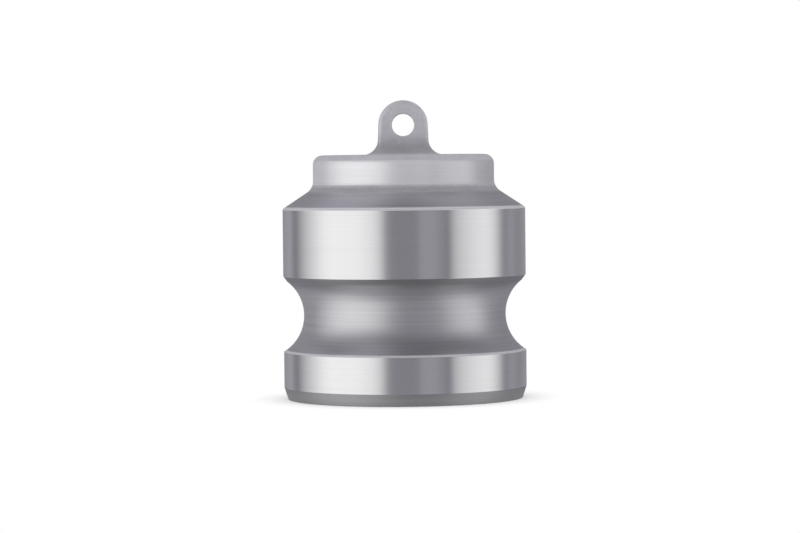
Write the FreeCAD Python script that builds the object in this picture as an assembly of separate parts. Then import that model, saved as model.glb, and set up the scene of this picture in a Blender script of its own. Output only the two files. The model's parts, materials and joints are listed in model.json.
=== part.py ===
import FreeCAD, Part
import math
import os

# Dust plug for a cam-and-groove hose coupling, two inch size.
# One casting, machined outside: nose ring, cam groove, upper ring, conical shoulder, closed cap and chain lug.
# Millimetres. The sealing face stands on z = 0, the plug's axis is Z, and the lug's hole runs along Y.

# Machined outside
ring_diameter = 63.0          # both rings, which slide into the coupler
face_chamfer_width = 1.0      # lead-in chamfer at the sealing face, measured in from the nose ring
face_chamfer_height = 3.1     # the same chamfer, measured up from the sealing face
groove_height = 21.8          # centre of the cam groove above the sealing face
groove_radius = 11.1          # round bottom of the groove, where the cam levers bear
groove_depth = 5.3            # from the rings in to the throat
nose_edge_radius = 2.0        # rounded edge between the nose ring and the groove
ring_bevel_width = 1.0        # bevel between the groove and the upper ring, measured in from the ring
ring_bevel_height = 1.4       # the same bevel, measured along the axis
shoulder_height = 49.4        # top edge of the upper ring

# Cast outside
shoulder_angle = 33.5         # slope of the conical shoulder, in degrees from level
shoulder_fillet_radius = 3.5  # hollow between the shoulder and the cap
cap_diameter = 47.0
cap_height = 63.2             # flat top of the cap above the sealing face
cap_rim_radius = 2.8

# Cored inside
throat_wall = 4.4             # wall at the bottom of the groove, the thinnest section
mouth_chamfer = 0.8
core_draft = 1.0              # taper of the bore, in degrees a side, so that the core draws
shoulder_wall = 4.5           # wall under the cone, square to it
cap_wall = 4.2                # wall of the cap, where its bore starts
crown_thickness = 5.0         # roof of the cap
crown_bevel = 3.0             # bevel between the cap's bore and its roof

# Lug for the keeper chain
lug_hole_rise = 7.7           # hole centre above the flat top of the cap
lug_hole_diameter = 5.8
lug_head_radius = 6.4         # round top, on the same centre as the hole
lug_thickness = 5.0
lug_side_taper = 2.0          # lean of each side, in degrees, wider towards the cap
lug_edge_radius = 1.0         # rounding along the lug's front and back edges
lug_foot_radius = 4.0         # fillet where the lug grows out of the cap

ring_radius = ring_diameter / 2
face_radius = ring_radius - face_chamfer_width
throat_radius = ring_radius - groove_depth
cap_radius = cap_diameter / 2
slope = math.radians(shoulder_angle)
draft = math.tan(math.radians(core_draft))
mouth_radius = throat_radius - throat_wall + groove_height * draft
roof_height = cap_height - crown_thickness
lug_hole_height = cap_height + lug_hole_rise


def at(radius, height):
    """A point of the half section: its distance from the axis and its height."""
    return FreeCAD.Vector(radius, 0, height)


def line(start, end):
    return Part.LineSegment(start, end).toShape()


def arc(start, middle, end):
    return Part.Arc(start, middle, end).toShape()


def corner(before, tip, after, radius):
    """The arc of this radius that rounds a corner between two straight stretches."""
    back = (before - tip).normalize()
    ahead = (after - tip).normalize()
    half_angle = back.getAngle(ahead) / 2
    setback = radius / math.tan(half_angle)
    inward = (back + ahead).normalize()
    centre = tip + inward * (radius / math.sin(half_angle))
    return arc(tip + back * setback, centre - inward * radius, tip + ahead * setback)


def nose_edge():
    """The arc that rounds the nose ring into the groove, touching both."""
    groove_centre = at(throat_radius + groove_radius, groove_height)
    reach = groove_radius + nose_edge_radius
    gap = groove_centre.x - (ring_radius - nose_edge_radius)
    centre = at(ring_radius - nose_edge_radius, groove_height - math.sqrt(reach**2 - gap**2))
    on_ring = centre + FreeCAD.Vector(nose_edge_radius, 0, 0)
    on_groove = centre + (groove_centre - centre).normalize() * nose_edge_radius
    middle = centre + (on_ring + on_groove - centre * 2).normalize() * nose_edge_radius
    return on_ring, middle, on_groove


def groove_end():
    """Where the groove's arc meets the bevel under the upper ring."""
    gap = groove_radius - groove_depth + ring_bevel_width
    return at(ring_radius - ring_bevel_width, groove_height + math.sqrt(groove_radius**2 - gap**2))


def start_of(edge):
    return edge.valueAt(edge.FirstParameter)


def end_of(edge):
    return edge.valueAt(edge.LastParameter)


def joined(edges):
    """One open wire through the given edges, with straight stretches drawn between them."""
    path = [edges[0]]
    for edge in edges[1:]:
        if start_of(edge).distanceToPoint(end_of(path[-1])) > 1e-6:
            path.append(line(end_of(path[-1]), start_of(edge)))
        path.append(edge)
    return path


def outer_section():
    """Sealing face to the top of the cap, up the outside."""
    nose_ring, nose_middle, nose_groove = nose_edge()
    bevel_foot = groove_end()
    upper_ring = at(ring_radius, bevel_foot.z + ring_bevel_height)
    shoulder_edge = at(ring_radius, shoulder_height)
    rise = (ring_radius - cap_radius) * math.tan(slope)
    cap_foot = at(cap_radius, shoulder_height + rise)
    cap_rim = at(cap_radius, cap_height)
    crown = at(0, cap_height)
    return joined([
        line(at(face_radius, 0), at(ring_radius, face_chamfer_height)),
        arc(nose_ring, nose_middle, nose_groove),
        arc(nose_groove, at(throat_radius, groove_height), bevel_foot),
        line(bevel_foot, upper_ring),
        line(upper_ring, shoulder_edge),
        corner(shoulder_edge, cap_foot, cap_rim, shoulder_fillet_radius),
        corner(cap_foot, cap_rim, crown, cap_rim_radius),
        line(crown + FreeCAD.Vector(cap_radius - cap_rim_radius, 0, 0), crown),
    ])


def core_section():
    """Roof of the cap to the sealing face, down the inside, which is plain cones and flats."""
    # The bore under the shoulder ends on a line that runs shoulder_wall below the cone.
    cone_radius = ring_radius - shoulder_wall * math.sin(slope)
    cone_height = shoulder_height - shoulder_wall * math.cos(slope)
    step_height = (cone_height + (cone_radius - mouth_radius) * math.tan(slope)) / (1 - draft * math.tan(slope))
    cap_bore_radius = cap_radius - cap_wall
    cap_bore_height = cone_height + (cone_radius - cap_bore_radius) * math.tan(slope)
    bevel_height = roof_height - crown_bevel
    bevel_radius = cap_bore_radius - (bevel_height - cap_bore_height) * draft
    corners = [
        at(bevel_radius - crown_bevel, roof_height),
        at(bevel_radius, bevel_height),
        at(cap_bore_radius, cap_bore_height),
        at(mouth_radius - step_height * draft, step_height),
        at(mouth_radius - mouth_chamfer * draft, mouth_chamfer),
        at(mouth_radius + mouth_chamfer, 0),
    ]
    return [line(start, end) for start, end in zip(corners, corners[1:])]


def turned_body():
    outside = outer_section()
    inside = core_section()
    axis_line = line(end_of(outside[-1]), at(0, roof_height))
    roof_line = line(end_of(axis_line), start_of(inside[0]))
    sealing_face = line(end_of(inside[-1]), start_of(outside[0]))
    outline = Part.Wire(outside + [axis_line, roof_line] + inside + [sealing_face])
    return Part.Face(outline).revolve(FreeCAD.Vector(0, 0, 0), FreeCAD.Vector(0, 0, 1), 360)


def lug_plate():
    """The flat lug before its foot is filleted, rooted half-way down in the roof of the cap."""
    lean = math.radians(lug_side_taper)
    root_height = cap_height - crown_thickness / 2
    shoulder_x = lug_head_radius * math.cos(lean)
    shoulder_z = lug_hole_height + lug_head_radius * math.sin(lean)
    root_x = shoulder_x + (shoulder_z - root_height) * math.tan(lean)
    front = FreeCAD.Vector(0, -lug_thickness / 2, 0)
    left_root = at(-root_x, root_height) + front
    left_shoulder = at(-shoulder_x, shoulder_z) + front
    top = at(0, lug_hole_height + lug_head_radius) + front
    right_shoulder = at(shoulder_x, shoulder_z) + front
    right_root = at(root_x, root_height) + front
    outline = Part.Wire([
        line(left_root, left_shoulder),
        arc(left_shoulder, top, right_shoulder),
        line(right_shoulder, right_root),
        line(right_root, left_root),
    ])
    plate = Part.Face(outline).extrude(FreeCAD.Vector(0, lug_thickness, 0))
    rim = [edge for edge in plate.Edges if on_lug_rim(edge, root_height)]
    return plate.makeFillet(lug_edge_radius, rim)


def on_lug_rim(edge, root_height):
    """True for the front and back edges that run up the sides and over the head."""
    box = edge.BoundBox
    return box.YLength < 1e-6 and box.ZMax > root_height + 1e-6


def on_lug_foot(edge):
    """True for the edges where the lug's sides meet the flat top of the cap."""
    box = edge.BoundBox
    in_top = abs(box.ZMin - cap_height) < 1e-6 and abs(box.ZMax - cap_height) < 1e-6
    near_lug = max(abs(box.YMin), abs(box.YMax)) < lug_thickness / 2 + 1e-3
    return in_top and near_lug


def plug_body():
    blank = turned_body().fuse(lug_plate()).removeSplitter()
    foot = [edge for edge in blank.Edges if on_lug_foot(edge)]
    plug = blank.makeFillet(lug_foot_radius, foot)
    hole_start = FreeCAD.Vector(0, -lug_thickness, lug_hole_height)
    hole = Part.makeCylinder(lug_hole_diameter / 2, lug_thickness * 2, hole_start, FreeCAD.Vector(0, 1, 0))
    return plug.cut(hole)


def export(shape, name):
    solid = shape.Solids[0]
    print(name, "solids", len(shape.Solids), "valid", solid.isValid(), "volume mm3", round(solid.Volume, 1))
    solid.exportStep(os.path.join("parts", name + ".step"))


os.makedirs("parts", exist_ok=True)
export(plug_body(), "plug_body")
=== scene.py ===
# %% [markdown]
# # Dust plug of a cam-and-groove hose coupling
# A dust plug closes the end of a hose coupling that isn't in use. It is one aluminium casting. The two
# rings, the groove and the end face are turned bright on a lathe, and the shoulder, the cap and the lug
# keep the dull skin of the mould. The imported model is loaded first, because it fixes the plug's place
# and size, in metres, and everything after it has to agree with it.

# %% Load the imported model
import json
import math

import bmesh
import bpy
from mathutils import Matrix, Vector

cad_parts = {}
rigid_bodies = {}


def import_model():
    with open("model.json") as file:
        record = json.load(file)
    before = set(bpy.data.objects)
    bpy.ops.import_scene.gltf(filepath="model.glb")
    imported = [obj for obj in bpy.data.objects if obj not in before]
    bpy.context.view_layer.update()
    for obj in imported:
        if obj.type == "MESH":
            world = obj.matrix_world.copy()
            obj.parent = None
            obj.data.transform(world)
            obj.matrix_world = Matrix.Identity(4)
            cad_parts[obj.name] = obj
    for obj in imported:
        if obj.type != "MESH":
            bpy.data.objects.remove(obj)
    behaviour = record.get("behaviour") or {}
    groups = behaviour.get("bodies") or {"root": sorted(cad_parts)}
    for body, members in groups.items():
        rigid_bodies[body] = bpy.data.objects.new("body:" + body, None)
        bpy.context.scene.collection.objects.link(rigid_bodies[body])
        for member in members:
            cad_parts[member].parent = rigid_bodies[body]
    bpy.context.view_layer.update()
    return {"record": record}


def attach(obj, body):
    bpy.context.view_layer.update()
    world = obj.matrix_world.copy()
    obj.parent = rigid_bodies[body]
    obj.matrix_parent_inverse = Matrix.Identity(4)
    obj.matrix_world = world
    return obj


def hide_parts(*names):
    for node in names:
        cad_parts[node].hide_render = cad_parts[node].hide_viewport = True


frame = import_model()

# %% [markdown]
# ## The camera
# The photograph was taken with a long lens, almost level with the plug, so its rings look nearly
# straight. A camera could be placed by eye, but here its place was worked out from the outline in the
# photograph: about three quarters of a metre away, looking two degrees down, and leaning half a degree.
# The lens shift moves the plug the last few points, to where it stands in the picture.

# %% Place the camera
MM = 0.001
LOOK_DOWN = math.radians(1.958)
LEAN = math.radians(-0.579)

camera_data = bpy.data.cameras.new("camera")
camera_data.lens = 132.75
camera_data.sensor_width = 36
camera_data.shift_x = -0.00556
camera_data.shift_y = 0.00558
camera = bpy.data.objects.new("camera", camera_data)
bpy.context.scene.collection.objects.link(camera)
camera_turn = Matrix.Rotation(math.pi / 2 - LOOK_DOWN, 4, "X") @ Matrix.Rotation(LEAN, 4, "Z")
camera.matrix_world = Matrix.Translation((0, -0.7665, 0.0592)) @ camera_turn
bpy.context.scene.camera = camera
print("camera stands at", camera.matrix_world.translation)

# %% [markdown]
# ## The section
# Everything below the lug is a turned form, so half of its section says all. A part like this could be
# stacked up from cylinders and cones, but a section drawn once and spun round gives true fillets and
# one closed skin. The section below runs from the flat top of the cap down the outside, across the end
# face, and up the cored inside. Radius and height are in millimetres.

# %% Helpers that set out a section
RING = 31.5                       # radius of both rings, which slide into the coupler
CAP = 23.5                        # radius of the cap
CAP_TOP = 63.2
SHOULDER = 49.4                   # top edge of the upper ring
SLOPE = math.radians(33.5)        # slope of the conical shoulder
LINE_DEPTH = 0.018                # depth of a deep tool line
LINE_REACH = 0.05                 # half its width


def arc(centre, radius, start, end, steps):
    """Points of an arc in the section, from one angle to another in degrees."""
    angles = [math.radians(start + (end - start) * i / steps) for i in range(steps + 1)]
    return [(centre[0] + radius * math.cos(a), centre[1] + radius * math.sin(a)) for a in angles]


def rounded(before, tip, after, radius, steps):
    """Points of the arc that rounds a corner between two straight stretches."""
    before, tip, after = Vector(before), Vector(tip), Vector(after)
    back, ahead = (before - tip).normalized(), (after - tip).normalized()
    half = back.angle(ahead) / 2
    centre = tip + (back + ahead).normalized() * (radius / math.sin(half))
    first = (tip + back * (radius / math.tan(half)) - centre).normalized()
    last = (tip + ahead * (radius / math.tan(half)) - centre).normalized()
    return [tuple(centre + first.slerp(last, i / steps) * radius) for i in range(steps + 1)]


def tool_line(height):
    """The fine scratch that a turning tool leaves round a ring, seen in section."""
    return [(RING, height + LINE_REACH), (RING - LINE_DEPTH, height), (RING, height - LINE_REACH)]


# %% Set out the section
cap_middle = (0, CAP_TOP)
cap_corner = (CAP, CAP_TOP)
cap_foot = (CAP, SHOULDER + (RING - CAP) * math.tan(SLOPE))
shoulder_edge = (RING, SHOULDER)
bevel_top = (RING, 31.97)
bevel_foot = (RING - 1.0, 30.57)
chamfer_top = (RING, 3.1)
nose_edge = (RING, 12.38)
face_edge = (RING - 1.0, 0)
mouth = (22.98, 0)
mouth_top = (22.17, 0.8)
step_low = (21.29, 50.76)
step_high = (19.30, 52.08)
bore_top = (19.25, 55.2)
roof_edge = (16.25, 58.2)
roof_middle = (0, 58.2)

GROOVE_CENTRE, GROOVE_RADIUS = (37.3, 21.8), 11.1
GROOVE_START, GROOVE_END = 127.79, 236    # degrees, from the bevel's foot down to the nose ring
CONE_ROW = 0.5                    # height of a row of points on the cone above the upper ring
UPPER_LINE, LOWER_LINE, NOSE_LINE = SHOULDER - 1.35, 32.95, 4.2    # heights of the tool lines
CAP_RIM, CAP_FILLET = 2.4, 3.5    # from here on, radii of rounded edges and hollows
RING_EDGE, CHAMFER_EDGE, FINE_EDGE, FINEST_EDGE = 0.7, 0.3, 0.2, 0.15
CORE_NECK, CORE_STEP, CORE_ROOF = 2.5, 1.0, 1.5

groove = arc(GROOVE_CENTRE, GROOVE_RADIUS, GROOVE_START, GROOVE_END, 44)
outside = (
    rounded(cap_middle, cap_corner, cap_foot, CAP_RIM, 12)
    + rounded(cap_corner, cap_foot, shoulder_edge, CAP_FILLET, 10)
    + [(RING - CONE_ROW / math.tan(SLOPE), SHOULDER + CONE_ROW)]
    + rounded(cap_foot, shoulder_edge, bevel_top, RING_EDGE, 6)
    + tool_line(UPPER_LINE)
    + tool_line(LOWER_LINE)
    + rounded(shoulder_edge, bevel_top, bevel_foot, FINE_EDGE, 2)
    + groove
    + rounded(groove[-1], nose_edge, chamfer_top, FINEST_EDGE, 2)
    + tool_line(NOSE_LINE)
    + rounded(bevel_foot, chamfer_top, face_edge, CHAMFER_EDGE, 2)
    + rounded(chamfer_top, face_edge, mouth, FINE_EDGE, 2)
)
inside = (
    [mouth, mouth_top]
    + rounded(mouth_top, step_low, step_high, CORE_NECK, 5)
    + rounded(step_low, step_high, bore_top, CORE_STEP, 3)
    + rounded(step_high, bore_top, roof_edge, CORE_ROOF, 3)
    + rounded(bore_top, roof_edge, roof_middle, CORE_ROOF, 3)
)
section = outside + inside
print("points in the section:", len(section))

# %% [markdown]
# ## Turning the body
# In Blender a section is drawn as a draughtsman does, one point after the other, and then spun. A flat
# square is merged to a single point, the point is extruded along the section, and Spin carries the
# line round the plug's axis. The first and last lines fall on each other and are merged.

# %% Draw the section and spin it
bpy.ops.object.select_all(action="DESELECT")
start = (section[0][0] * MM, 0, section[0][1] * MM)
bpy.ops.mesh.primitive_plane_add(size=MM, location=start)
body = bpy.context.object
body.name = "plug"
bpy.ops.object.transform_apply(location=True, rotation=True, scale=True)
bpy.ops.object.mode_set(mode="EDIT")
bpy.ops.mesh.select_all(action="SELECT")
bpy.ops.mesh.merge(type="CENTER")
for here, there in zip(section, section[1:]):
    step = ((there[0] - here[0]) * MM, 0, (there[1] - here[1]) * MM)
    bpy.ops.mesh.extrude_vertices_move(TRANSFORM_OT_translate={"value": step})

SPIN_STEPS = 256
bpy.ops.mesh.select_all(action="SELECT")
bpy.ops.mesh.spin(steps=SPIN_STEPS, angle=math.tau, center=(0, 0, 0), axis=(0, 0, 1))
bpy.ops.mesh.select_all(action="SELECT")
bpy.ops.mesh.remove_doubles(threshold=1e-6)
bpy.ops.object.mode_set(mode="OBJECT")
print("turned body:", len(body.data.vertices), "vertices,", len(body.data.polygons), "faces")

# %% [markdown]
# ## Choosing faces in code
# With the mouse a modeller clicks on what the next tool should act on. In a script the choice is made
# by place: each vertex, edge or face whose middle passes a test is selected. The test gets the middle
# in millimetres, so it reads like a drawing.

# %% A helper that selects by place
def select(kind, test):
    """In edit mode, selects the vertices, edges or faces whose middle passes the test."""
    bpy.ops.mesh.select_mode(type=kind)
    bpy.ops.mesh.select_all(action="DESELECT")
    shape = bmesh.from_edit_mesh(bpy.context.object.data)
    parts = {"VERT": shape.verts, "EDGE": shape.edges, "FACE": shape.faces}[kind]
    chosen = 0
    for part in parts:
        corners = [part] if kind == "VERT" else part.verts
        middle = sum((corner.co for corner in corners), Vector()) / len(corners) / MM
        if test(middle):
            part.select_set(True)
            chosen += 1
    bmesh.update_edit_mesh(bpy.context.object.data)
    return chosen


def near(value, target):
    return abs(value - target) < 0.01


# %% Close the roof of the core
bpy.ops.object.mode_set(mode="EDIT")
roof = section[-1]
count = select("EDGE", lambda p: near(p.z, roof[1]) and p.xy.length < roof[0] + 0.01)
bpy.ops.mesh.edge_face_add()
bpy.ops.object.mode_set(mode="OBJECT")
print("edges round the roof:", count)

# %% [markdown]
# ## The lug
# The lug is a flat ear with a round head, cast with the cap, and a keeper chain hangs from its hole. A
# hole could be cut out of a plate with a boolean, but that leaves long thin faces round it. Here the
# modelling starts from the hole: a circle is extruded out to the head's radius, and its lower half is
# flattened to the line where the foot begins. Extruding that face backwards makes the plate. The spoke
# that runs to each lower corner is dissolved, because a bevel only ends cleanly where three edges meet.

# %% Model the flat plate round the hole
hole = next(mount for mount in frame["record"]["mounts"] if mount["name"] == "lug_hole")
HOLE = hole["dims"]["r_mm"]
HOLE_Z = hole["pos_m"][2] / MM
HALF_PLATE = hole["dims"]["length_mm"] / 2
HEAD = 6.4                        # radius of the round head
FOOT_RADIUS = 4.0                 # radius of the hollow round the lug's foot
ROOT = 6.53                       # half width of the lug where that hollow starts
ROOT_Z = CAP_TOP + FOOT_RADIUS
SIDES = 64                        # of the circles round the hole
CLOSER = 0.8                      # draws the middle points of the root line away from its corners
SLACK = 0.1                       # what the tests by place allow for rounding

hole_centre = (0, -HALF_PLATE * MM, HOLE_Z * MM)
bpy.ops.object.select_all(action="DESELECT")
bpy.ops.mesh.primitive_circle_add(
    vertices=SIDES, radius=HOLE * MM, location=hole_centre, rotation=(math.pi / 2, 0, 0)
)
lug = bpy.context.object
lug.name = "lug"
bpy.ops.object.transform_apply(location=True, rotation=True, scale=True)
bpy.ops.object.mode_set(mode="EDIT")
bpy.ops.mesh.select_all(action="SELECT")
bpy.ops.mesh.extrude_region_move()
grow = HEAD / HOLE
bpy.ops.transform.resize(value=(grow, 1, grow), center_override=hole_centre)


def from_hole(p):
    return math.hypot(p.x, p.z - HOLE_Z)


select("VERT", lambda p: from_hole(p) > HEAD - SLACK and p.z < HOLE_Z - SLACK)
bpy.ops.transform.resize(value=(1, 1, 0), center_override=(0, 0, ROOT_Z * MM))
select("VERT", lambda p: near(p.z, ROOT_Z) and abs(p.x) < HEAD - SLACK)
bpy.ops.transform.resize(value=(CLOSER, 1, 1), center_override=(0, 0, ROOT_Z * MM))
widen = ROOT - HEAD * math.cos(math.tau / SIDES)
for side in (-1, 1):
    select("VERT", lambda p: near(p.z, ROOT_Z) and p.x * side > HEAD - SLACK)
    bpy.ops.transform.translate(value=(side * widen * MM, 0, 0))
bpy.ops.mesh.select_all(action="SELECT")
thickness = (0, 2 * HALF_PLATE * MM, 0)
bpy.ops.mesh.extrude_region_move(TRANSFORM_OT_translate={"value": thickness})
spoke_x = (HOLE * math.cos(math.tau / SIDES) + ROOT) / 2
spoke_z = (HOLE_Z - HOLE * math.sin(math.tau / SIDES) + ROOT_Z) / 2
spokes = select("EDGE", lambda p: near(abs(p.x), spoke_x) and near(p.z, spoke_z))
bpy.ops.mesh.dissolve_edges(use_verts=False)
print("spokes taken out at the lower corners:", spokes)
print("lug plate:", len(bmesh.from_edit_mesh(lug.data).faces), "faces")

# %% [markdown]
# A casting has no sharp outer edge, because sand or die steel can't hold one, so the lug's rim is
# rounded by a millimetre. The hole was drilled afterwards, and its edge is only broken. The plate's
# lower end comes off last, so that the rounding runs cleanly down to it.

# %% Round the rim and break the edge of the hole
def on_face(p):
    return near(abs(p.y), HALF_PLATE)


EDGE_RADIUS = 1.0                 # rounding of the lug's rim
BROKEN_EDGE = 0.25                # what a countersink takes off the edge of the hole
rim = select("EDGE", lambda p: on_face(p) and p.z > ROOT_Z + 0.01 and (
    from_hole(p) > HEAD - 0.05 or (p.z < HOLE_Z and abs(p.x) > HEAD - 0.05)))
bpy.ops.mesh.bevel(
    offset=EDGE_RADIUS * MM, offset_type="OFFSET", segments=5, profile=0.5,
    affect="EDGES", clamp_overlap=False,
)
side_middle = HOLE * math.cos(math.pi / SIDES)
hole_edge = select("EDGE", lambda p: on_face(p) and near(from_hole(p), side_middle))
bpy.ops.mesh.bevel(
    offset=BROKEN_EDGE * MM, offset_type="OFFSET", segments=2, profile=0.5,
    affect="EDGES", clamp_overlap=False,
)
select("FACE", lambda p: near(p.z, ROOT_Z))
bpy.ops.mesh.delete(type="FACE")
print("edges rounded on the rim:", rim, "and at the hole:", hole_edge)

# %% [markdown]
# ## The lug's foot
# Where the lug grows out of the cap, the metal flares out in a hollow of four millimetres radius on
# all sides. A bevel could make such a fillet after the lug is joined, but it needs clean faces round
# it. Here the foot is laid up like a flared skirt instead: the open lower edge is extruded downwards
# in short steps, and each step is wider than the one above, by the rule of a quarter circle.

# %% Flare the foot down to the cap
FOOT_STEPS = 9
corner_x, corner_y = ROOT - EDGE_RADIUS, HALF_PLATE - EDGE_RADIUS


def spread(step):
    return FOOT_RADIUS * (1 - math.cos(math.pi / 2 * step / FOOT_STEPS))


def drop(step):
    return FOOT_RADIUS * math.sin(math.pi / 2 * step / FOOT_STEPS)


for step in range(1, FOOT_STEPS + 1):
    above, height = ROOT_Z - drop(step - 1), ROOT_Z - drop(step)
    select("EDGE", lambda p: near(p.z, above))
    fall = (0, 0, (height - above) * MM)
    bpy.ops.mesh.extrude_region_move(TRANSFORM_OT_translate={"value": fall})
    out = spread(step) - spread(step - 1)
    grow = (EDGE_RADIUS + spread(step)) / (EDGE_RADIUS + spread(step - 1))
    for front in (-1, 1):
        select("VERT", lambda p: near(p.z, height) and p.y * front > 0 and abs(p.x) < corner_x - 0.01)
        bpy.ops.transform.translate(value=(0, front * out * MM, 0))
        for side in (-1, 1):
            select("VERT", lambda p: near(p.z, height)
                   and p.x * side > corner_x - 0.01 and p.y * front > corner_y - 0.01)
            centre = (side * corner_x * MM, front * corner_y * MM, height * MM)
            bpy.ops.transform.resize(value=(grow, grow, 1), center_override=centre)
bpy.ops.object.mode_set(mode="OBJECT")
print("lug with its foot:", len(lug.data.polygons), "faces")

# %% [markdown]
# ## One casting
# The lug and the body are one piece of metal, so they become one mesh. The foot's lower edge and the
# open edge of the cap lie in the same plane, and Fill lays the flat top of the cap between them.

# %% Join the lug to the body and close the cap
bpy.ops.object.select_all(action="DESELECT")
lug.select_set(True)
body.select_set(True)
bpy.context.view_layer.objects.active = body
bpy.ops.object.join()
bpy.ops.object.mode_set(mode="EDIT")
bpy.ops.mesh.select_mode(type="EDGE")
bpy.ops.mesh.select_all(action="DESELECT")
bpy.ops.mesh.select_non_manifold(extend=False)
bpy.ops.mesh.fill(use_beauty=True)
bpy.ops.mesh.select_all(action="SELECT")
bpy.ops.mesh.normals_make_consistent(inside=False)
bpy.ops.mesh.select_all(action="DESELECT")
bpy.ops.mesh.select_non_manifold(extend=False)
open_edges = sum(edge.select for edge in bmesh.from_edit_mesh(body.data).edges)
bpy.ops.object.mode_set(mode="OBJECT")
print("open edges left:", open_edges)

# %% [markdown]
# ## Smooth shading
# Facets disappear when the shading runs smoothly over them, but real edges have to stay crisp. Edges
# sharper than thirty degrees are kept sharp, and Weighted Normal lets the large faces decide the
# direction at small fillets, so flats stay flat right up to their rounded edges.

# %% Shade the casting
bpy.ops.object.shade_smooth_by_angle(angle=math.radians(30))
weights = body.modifiers.new("even shading", "WEIGHTED_NORMAL")
weights.keep_sharp = True
bpy.ops.object.modifier_apply(modifier=weights.name)
print("plug mesh:", len(body.data.polygons), "faces")

# %% [markdown]
# ## Shader maths in Python
# Blender's materials are graphs of nodes. Written one by one, a sum of three values takes a page of
# links, so a small class wraps a socket and lets Python's own signs add the Math nodes. Any other node
# comes from one method: first its settings, then the values or links of its sockets.

# %% A small class for shader sockets
class Pen:
    """A socket of a material's nodes. Arithmetic on it adds Math nodes."""

    def __init__(self, tree, socket=None):
        self.tree = tree
        self.socket = socket

    def node(self, kind, settings=None, sockets=None, stops=None, output=0):
        """Adds a node and returns one of its outputs, by number or name."""
        made = self.tree.nodes.new(kind)
        for name, value in (settings or {}).items():
            setattr(made, name, value)
        if stops:
            ramp = made.color_ramp.elements
            while len(ramp) < len(stops):
                ramp.new(0.5)
            for stop, (position, colour) in zip(ramp, stops):
                stop.position = position
                stop.color = colour if len(colour) == 4 else (*colour, 1)
        for name, value in (sockets or {}).items():
            if isinstance(value, Pen):
                self.tree.links.new(value.socket, made.inputs[name])
            else:
                made.inputs[name].default_value = value
        return Pen(self.tree, made.outputs[output])

    def maths(self, operation, *values):
        return self.node("ShaderNodeMath", {"operation": operation}, dict(enumerate(values)))

    def also(self, output):
        """Another output of the same node."""
        return Pen(self.tree, self.socket.node.outputs[output])

    def feeds(self, node, name):
        self.tree.links.new(self.socket, node.inputs[name])

    def __add__(self, other):
        return self.maths("ADD", self, other)

    __radd__ = __add__

    def __rsub__(self, other):
        return self.maths("SUBTRACT", other, self)

    def __mul__(self, other):
        return self.maths("MULTIPLY", self, other)

    __rmul__ = __mul__

    def __truediv__(self, other):
        return self.maths("DIVIDE", self, other)


def start_material(name):
    """A new material, the pen that writes its nodes, and its Principled shader."""
    material = bpy.data.materials.new(name)
    material.use_nodes = True
    return material, Pen(material.node_tree), material.node_tree.nodes["Principled BSDF"]


def place_of(pen):
    """Object coordinates, which stay fixed to the metal from every side."""
    return pen.node("ShaderNodeTexCoord", output="Object")


def grain(pen, place, scale, detail=3.0):
    """Noise stretched by a scale along each axis, in cells per metre."""
    stretched = pen.node("ShaderNodeMapping", sockets={"Vector": place, "Scale": scale})
    return pen.node("ShaderNodeTexNoise", sockets={"Vector": stretched, "Scale": 1.0, "Detail": detail})


def between(pen, share, dark, light):
    """Runs from one colour to another while the share goes from 0.3 to 0.7, where noise mostly is."""
    return pen.node("ShaderNodeValToRGB", sockets={"Fac": share}, stops=[(0.3, dark), (0.7, light)])


def blend(pen, share, first, second):
    """Mixes two colours: all first at 0, all second at 1."""
    return pen.node("ShaderNodeMix", {"data_type": "RGBA"}, {0: share, 6: first, 7: second}, output=2)


def slide(pen, value, start, end, first, last):
    """A smooth change from first to last while the value goes from start to end."""
    return pen.node("ShaderNodeMapRange", {"interpolation_type": "SMOOTHSTEP"}, {
        "Value": value, "From Min": start, "From Max": end, "To Min": first, "To Max": last})


def bump(pen, height, distance):
    """Turns a height between 0 and 1 into a normal. The distance is in millimetres."""
    return pen.node("ShaderNodeBump", sockets={
        "Height": height, "Distance": distance * MM, "Strength": 1.0})


# %% [markdown]
# ## Turned aluminium
# A lathe tool cuts one endless fine thread round the rings. The metal between the lines is almost a
# mirror, and the lines smear each reflection along the axis and not round it. That is what the
# anisotropy of the Principled shader is for. The lines could be modelled, but they are hundredths of a
# millimetre deep, so a bump does it: noise that hardly changes round the ring and fast along its axis.

# %% Material of the two rings
turned, pen, surface = start_material("turned aluminium")
surface.inputs["Metallic"].default_value = 1.0
surface.inputs["Anisotropic"].default_value = 0.8
surface.inputs["Anisotropic Rotation"].default_value = 0.25
lines = grain(pen, place_of(pen), (25, 25, 7000), detail=4.0)
between(pen, lines, (0.84, 0.84, 0.846), (0.89, 0.89, 0.896)).feeds(surface, "Base Color")
(0.19 + 0.08 * lines).feeds(surface, "Roughness")
bump(pen, lines, 0.004).feeds(surface, "Normal")
print("material:", turned.name)
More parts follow.
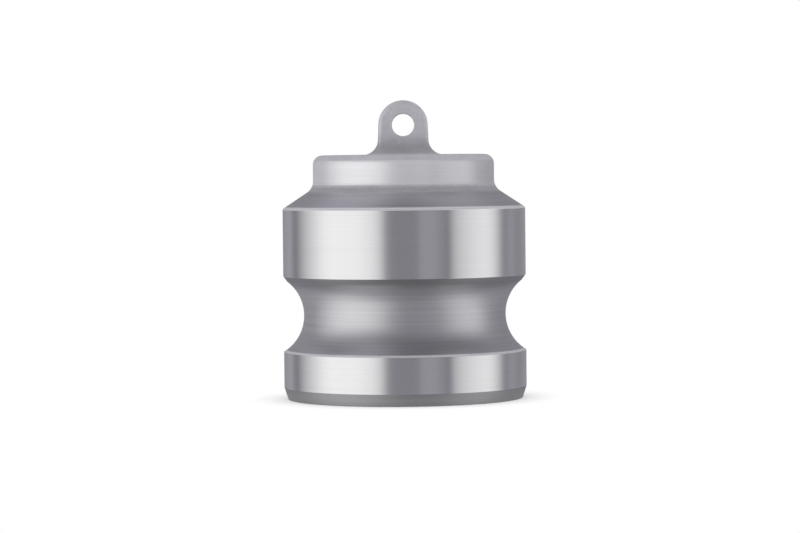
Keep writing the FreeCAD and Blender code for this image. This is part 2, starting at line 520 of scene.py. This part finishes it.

# %% [markdown]
# ## The satin groove and chamfer
# The groove was cut with a form tool, whose whole width cuts at once and rubs. So it is duller than the
# rings and shows the light as two soft pools. The same lines run round it, only coarser, and a higher
# roughness spreads the reflections. The steep flank at its top is painted darker, as painted shade under
# the upper ring. The chamfer at the nose is painted darkest, as painted shade where it faces the floor
# close to the plug.

# %% Material of the groove and the chamfer
satin, pen, surface = start_material("satin aluminium")
surface.inputs["Metallic"].default_value = 1.0
place = place_of(pen)
lines = grain(pen, place, (20, 20, 3500))
clean = between(pen, lines, (0.67, 0.67, 0.69), (0.755, 0.755, 0.775))
# The two darker colours below are painted shade: on the groove's top flank under the upper ring, and on
# the chamfer near the floor.
shaded_flank = between(pen, lines, (0.44, 0.44, 0.45), (0.50, 0.50, 0.51))
shaded_chamfer = between(pen, lines, (0.40, 0.40, 0.41), (0.46, 0.46, 0.47))
height = pen.node("ShaderNodeSeparateXYZ", sockets={0: place}).also("Z")
flank_shade = slide(pen, height, 27.6 * MM, 31.0 * MM, 0, 1)
chamfer_shade = slide(pen, height, 3.4 * MM, 3.1 * MM, 0, 1)
blend(pen, chamfer_shade, blend(pen, flank_shade, clean, shaded_flank), shaded_chamfer).feeds(surface, "Base Color")
(0.37 + 0.08 * lines).feeds(surface, "Roughness")
bump(pen, lines, 0.008).feeds(surface, "Normal")
print("material:", satin.name)

# %% [markdown]
# ## The shoulder
# The cone above the upper ring was never machined, yet faint rings run round it. They come from the
# pattern of the mould, which was turned on a lathe, and the metal took over its lines. The skin is
# denser here than on the cap and the lug, so it has a dull sheen and follows the light of the room.

# %% Material of the shoulder
ringed, pen, surface = start_material("ringed casting")
surface.inputs["Metallic"].default_value = 1.0
lines = grain(pen, place_of(pen), (20, 20, 2500))
between(pen, lines, (0.66, 0.66, 0.68), (0.745, 0.745, 0.765)).feeds(surface, "Base Color")
(0.28 + 0.08 * lines).feeds(surface, "Roughness")
bump(pen, lines, 0.01).feeds(surface, "Normal")
print("material:", ringed.name)

# %% [markdown]
# ## The end face
# The end face presses on the coupler's seal. It was faced off on the lathe, so its lines are circles
# about the axis, and the noise that draws them reads the distance from the axis alone.

# %% Material of the end face
faced, pen, surface = start_material("faced aluminium")
surface.inputs["Metallic"].default_value = 1.0
flat_place = pen.node("ShaderNodeVectorMath", {"operation": "MULTIPLY"}, {
    0: place_of(pen), 1: (1, 1, 0)})
radius = pen.node("ShaderNodeVectorMath", {"operation": "LENGTH"}, {0: flat_place}, output="Value")
circles = pen.node("ShaderNodeTexNoise", {"noise_dimensions": "1D"}, {
    "W": radius * 5000, "Scale": 1.0, "Detail": 3.0})
between(pen, circles, (0.82, 0.82, 0.825), (0.87, 0.87, 0.875)).feeds(surface, "Base Color")
(0.24 + 0.1 * circles).feeds(surface, "Roughness")
bump(pen, circles, 0.006).feeds(surface, "Normal")
print("material:", faced.name)

# %% [markdown]
# ## The cast skin
# Metal that froze against the mould has a pebbled skin and is hardly a mirror. Three sizes of noise make
# it: grains of a third of a millimetre, pebbles of one, and slow swells of a few millimetres that break
# up long reflections. About half of the light is scattered, as it is by chalk, so the metallic share is
# a half. In the hollows round the lug's foot and under the cap, and in the core, the skin is painted
# darker: that is painted shade, where less light falls.

# %% Material of the lug, the top of the cap and the inside
cast, pen, surface = start_material("cast aluminium")
surface.inputs["Metallic"].default_value = 0.5
place = place_of(pen)
skin = grain(pen, place, (3000, 3000, 3000), detail=4.0)
pebbles = grain(pen, place, (1000, 1000, 1000), detail=2.0)
swell = grain(pen, place, (260, 260, 260), detail=2.0)
mottle = 0.3 * skin + 0.4 * pebbles + 0.3 * swell
clean = between(pen, mottle, (0.56, 0.555, 0.59), (0.70, 0.695, 0.74))
# The darker colour below is painted shade, laid in the hollows round the lug's foot, under the cap and
# in the core.
shaded_skin = between(pen, mottle, (0.40, 0.395, 0.42), (0.50, 0.495, 0.53))
height = pen.node("ShaderNodeSeparateXYZ", sockets={0: place}).also("Z")
above_cap = slide(pen, height, 62.9 * MM, 64.0 * MM, 0, 1)
below_hole = slide(pen, height, 65.0 * MM, 69.5 * MM, 1, 0)
below_cap = slide(pen, height, 55.8 * MM, 54.6 * MM, 0, 1)
hollow_shade = pen.maths("MAXIMUM", above_cap * below_hole, below_cap)
blend(pen, hollow_shade, clean, shaded_skin).feeds(surface, "Base Color")
(0.42 + 0.10 * skin).feeds(surface, "Roughness")
bump(pen, 0.2 * skin + 0.5 * pebbles + swell, 0.12).feeds(surface, "Normal")
print("material:", cast.name)

# %% [markdown]
# ## Rubbed metal, with painted highlight and shade
# The wall of the cap is the paler part of the casting, where a hand or a spanner grips it, and the same
# pale metal shows as a thin line on the edges that other parts rub: the upper edges of both rings. That
# line is wear and a painted highlight. The right side of the wall is painted darker, as painted shade.

# %% Material of the cap's wall and the rubbed edges, with painted highlight and shade
rubbed_and_painted_light, pen, surface = start_material("rubbed aluminium, painted light")
surface.inputs["Metallic"].default_value = 0.6
place = place_of(pen)
lines = grain(pen, place, (40, 40, 2500))
pale = between(pen, lines, (0.80, 0.80, 0.825), (0.85, 0.85, 0.875))
# The darker colour below is painted shade on the right side of the cap's wall.
shaded_side = between(pen, lines, (0.61, 0.61, 0.635), (0.65, 0.65, 0.675))
x = pen.node("ShaderNodeSeparateXYZ", sockets={0: place})
right_side_shade = slide(pen, x, 4 * MM, 14 * MM, 0, 1)
on_wall = slide(pen, x.also("Z"), 52 * MM, 55 * MM, 0, 1)
blend(pen, right_side_shade * on_wall, pale, shaded_side).feeds(surface, "Base Color")
(0.30 + 0.08 * lines).feeds(surface, "Roughness")
bump(pen, lines, 0.008).feeds(surface, "Normal")
print("material:", rubbed_and_painted_light.name)

# %% [markdown]
# ## Which face gets which finish
# One mesh can carry several materials. Each has a slot, and the faces are chosen by place again: the
# cast skin goes on everything first, and the other finishes are painted over it. The borders below are
# heights in millimetres, and each lies between the middles of two rows of faces.

# %% Tests for the places
CHAMFER_TO = 3.2
GROOVE_FROM, GROOVE_TO = 12.55, 31.9
SHOULDER_TO = 53.7
WALL_FROM, WALL_TO = 55.4, 61.6
NOSE_RUB_HIGHLIGHT_TO = 13.0
RING_RUB_HIGHLIGHT_FROM, RING_RUB_HIGHLIGHT_TO = 49.15, 49.85
OUTSIDE = 24.0                    # radius between the core and the groove


def from_axis(p):
    return math.hypot(p.x, p.y)


def on_rings(p):
    return from_axis(p) > RING - 0.2 and p.z < SHOULDER + CONE_ROW


def in_groove(p):
    return from_axis(p) > OUTSIDE and GROOVE_FROM < p.z < GROOVE_TO


def on_chamfer(p):
    return from_axis(p) > face_edge[0] - 0.2 and p.z < CHAMFER_TO


def on_shoulder(p):
    return from_axis(p) > CAP and SHOULDER < p.z < SHOULDER_TO


def on_end_face(p):
    return from_axis(p) > mouth[0] - 0.08 and p.z < 0.05


def on_cap_wall(p):
    return from_axis(p) > CAP - 1.2 and WALL_FROM < p.z < WALL_TO


# The rubbed metal on these edges is wear and a painted highlight line along the rings' upper edges.
def on_rubbed_highlight_edges(p):
    on_nose = from_axis(p) > RING - 1.2 and nose_edge[1] < p.z < NOSE_RUB_HIGHLIGHT_TO
    on_ring = from_axis(p) > RING - 0.7 and RING_RUB_HIGHLIGHT_FROM < p.z < RING_RUB_HIGHLIGHT_TO
    return on_nose or on_ring


# %% Assign the finishes
body.data.materials.append(cast)
finishes = [
    (turned, on_rings), (satin, in_groove), (satin, on_chamfer), (ringed, on_shoulder),
    (faced, on_end_face), (rubbed_and_painted_light, on_cap_wall), (rubbed_and_painted_light, on_rubbed_highlight_edges),
]
bpy.ops.object.mode_set(mode="EDIT")
for material, test in finishes:
    if material.name not in body.data.materials:
        body.data.materials.append(material)
    body.active_material_index = body.data.materials.find(material.name)
    count = select("FACE", test)
    bpy.ops.object.material_slot_assign()
    print(material.name, "on", count, "faces")
bpy.ops.object.mode_set(mode="OBJECT")

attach(body, "root")
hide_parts("plug_body")

# %% [markdown]
# ## The studio
# Bright metal has no look of its own, it shows the room. The room here is plain white, and its light
# gives each dull surface the colour that was written for it. For the bright surfaces a grey cloth hangs
# round the plug with two soft-edged white panels in it, one on each side of the camera. The panels are
# the two bright bands on the rings, and the cloth is the grey between them. Only reflections see the
# cloth, so the background stays white and the cloth takes no light from the casting.

# %% The white room and the cloth's shape
world = bpy.data.worlds.new("white room")
world.use_nodes = True
world.node_tree.nodes["Background"].inputs["Color"].default_value = (1, 1, 1, 1)
world.node_tree.nodes["Background"].inputs["Strength"].default_value = 1.0
world.cycles_visibility.glossy = False
bpy.context.scene.world = world

CLOTH_RADIUS = 2.0
bpy.ops.object.select_all(action="DESELECT")
bpy.ops.mesh.primitive_uv_sphere_add(segments=64, ring_count=32, radius=CLOTH_RADIUS)
cloth = bpy.context.object
cloth.name = "grey_cloth"
cloth.visible_camera = False
cloth.visible_diffuse = False
cloth.visible_shadow = False
print("cloth hangs", CLOTH_RADIUS, "m from the plug")

# %% [markdown]
# Every point of the cloth is known by two angles: how far round the plug it hangs, and how high. Two
# ramps round the plug say how far a panel covers the cloth and how light the grey is. Each light line
# and dark line on the rings is one place on these ramps.

# %% Angles, panels and greys round the plug
grey, pen, surface = start_material("grey cloth")
x = pen.node("ShaderNodeSeparateXYZ", sockets={0: place_of(pen)})
turn = pen.maths("ARCTAN2", x, -1 * x.also("Y")) / math.tau + 0.5
rise = pen.maths("ARCSINE", x.also("Z") / CLOTH_RADIUS) * math.degrees(1)


def round_the_plug(pen, stops, tint=(1, 1, 1)):
    """A value that changes round the plug: 0 degrees is towards the camera, 90 to its right."""
    return pen.node("ShaderNodeValToRGB", sockets={"Fac": turn}, stops=[
        (angle / 360 + 0.5, [value * part for part in tint]) for angle, value in stops])


panels = round_the_plug(pen, [
    (-122, 0), (-112, 0.25), (-99, 0.52), (-83, 0.9), (-73, 1), (-45, 0.97), (-31, 0.83), (-23, 0.6),
    (-17, 0.1), (-13, 0), (43, 0), (47, 0.27), (55, 0.5), (68, 0.7), (82, 0.81), (90, 0.73),
    (99, 0.37), (105, 0)])
greys = round_the_plug(pen, [
    (-160, 0.29), (-150, 0.31), (-140, 0.36), (-133, 0.31), (-127, 0.21), (-120, 0.22),
    (-100, 0.30), (-15, 0.235), (12, 0.235), (15, 0.32), (29, 0.32), (32, 0.28), (37, 0.27),
    (39, 0.19), (42, 0.19), (46, 0.3), (105, 0.30), (110, 0.24), (120, 0.31), (135, 0.25),
    (146, 0.27), (160, 0.30)], tint=(1, 0.985, 1.09))
print("ramps round the plug: panels and greys")

# %% [markdown]
# The panels end softly above and below, or the groove would show them as hard-edged boxes. High up,
# where only the shoulder and the rim of the cap see the cloth, a third ramp makes it dark with two
# light patches behind and one in front, and low down it is dark all round. The cloth glows by itself,
# so the metal shows its greys as they are written.

# %% The cloth from top to bottom
PANEL_TOP, PANEL_FOOT = (16, 40), (-36, -66)    # degrees of rise, from where a panel fades to its end
LID_FROM, LID_WHOLE = 32, 55
DIM_FROM, DIM_WHOLE = -34, -75
belt = slide(pen, rise, *PANEL_TOP, 1, 0) * slide(pen, rise, *PANEL_FOOT, 1, 0)
lid = 2 * round_the_plug(pen, [
    (-170, 0.28), (-161, 0.42), (-150, 0.95), (-125, 0.6), (-105, 0.23), (-85, 0.43), (-65, 0.7),
    (-45, 0.68), (-28, 0.3), (-15, 0.23), (105, 0.23), (125, 0.6), (150, 0.95), (161, 0.42),
    (170, 0.28)])
high = slide(pen, rise, LID_FROM, LID_WHOLE, 0, 1)
shade = (1 - high + high * lid) * slide(pen, rise, DIM_FROM, DIM_WHOLE, 1, 0.3)
shaded_greys = pen.node("ShaderNodeVectorMath", {"operation": "SCALE"}, {0: greys, "Scale": shade})
surface.inputs["Base Color"].default_value = (0, 0, 0, 1)
surface.inputs["Specular IOR Level"].default_value = 0.0
surface.inputs["Emission Strength"].default_value = 1.0
blend(pen, panels * belt, shaded_greys, (1, 1, 1, 1)).feeds(surface, "Emission Color")
cloth.data.materials.append(grey)
print("cloth material:", len(grey.node_tree.nodes), "nodes")

# %% [markdown]
# ## The floor
# The plug stands on a small round mat of pale card. Its edge fades out, so that no horizon crosses the
# picture, and the soft shadow beside the plug stays. The mat has a round hole under the end face, so
# that no two surfaces lie in one plane, and it is clear from below, so that a view from there shows the
# whole plug.

# %% Lay the floor
TABLE = 42.0                      # radius of the mat
FADE_FROM = 26.0                  # radius where the mat starts to fade, under the plug
CLEARANCE = 0.3                   # from the end face's edge in to the hole's
bpy.ops.object.select_all(action="DESELECT")
bpy.ops.mesh.primitive_circle_add(vertices=96, radius=TABLE * MM)
floor = bpy.context.object
floor.name = "floor"
bpy.ops.object.mode_set(mode="EDIT")
bpy.ops.mesh.select_mode(type="EDGE")
bpy.ops.mesh.select_all(action="SELECT")
bpy.ops.mesh.extrude_region_move()
inward = (face_edge[0] - CLEARANCE) / TABLE
bpy.ops.transform.resize(value=(inward, inward, 1), center_override=(0, 0, 0))
bpy.ops.mesh.select_all(action="SELECT")
bpy.ops.mesh.normals_make_consistent(inside=False)
bpy.ops.object.mode_set(mode="OBJECT")
print("floor reaches", TABLE, "mm from the plug's axis")

# %% Material of the floor
pale_card, pen, surface = start_material("pale card")
surface.inputs["Base Color"].default_value = (0.9, 0.9, 0.9, 1)
surface.inputs["Roughness"].default_value = 1.0
surface.inputs["Specular IOR Level"].default_value = 0.0
reach = pen.node("ShaderNodeVectorMath", {"operation": "LENGTH"}, {0: place_of(pen)}, output="Value")
fade = slide(pen, reach, FADE_FROM * MM, TABLE * MM, 0.25, 1)
underside = pen.node("ShaderNodeNewGeometry", output="Backfacing")
card = Pen(pen.tree, surface.outputs[0])
clear = pen.node("ShaderNodeBsdfTransparent")
faded = pen.node("ShaderNodeMixShader", sockets={
    0: pen.maths("MAXIMUM", fade, underside), 1: card, 2: clear})
faded.feeds(pen.tree.nodes["Material Output"], "Surface")
floor.data.materials.append(pale_card)
print("floor material:", len(pale_card.node_tree.nodes), "nodes")

# %% Colours as written
bpy.context.scene.view_settings.view_transform = "Standard"
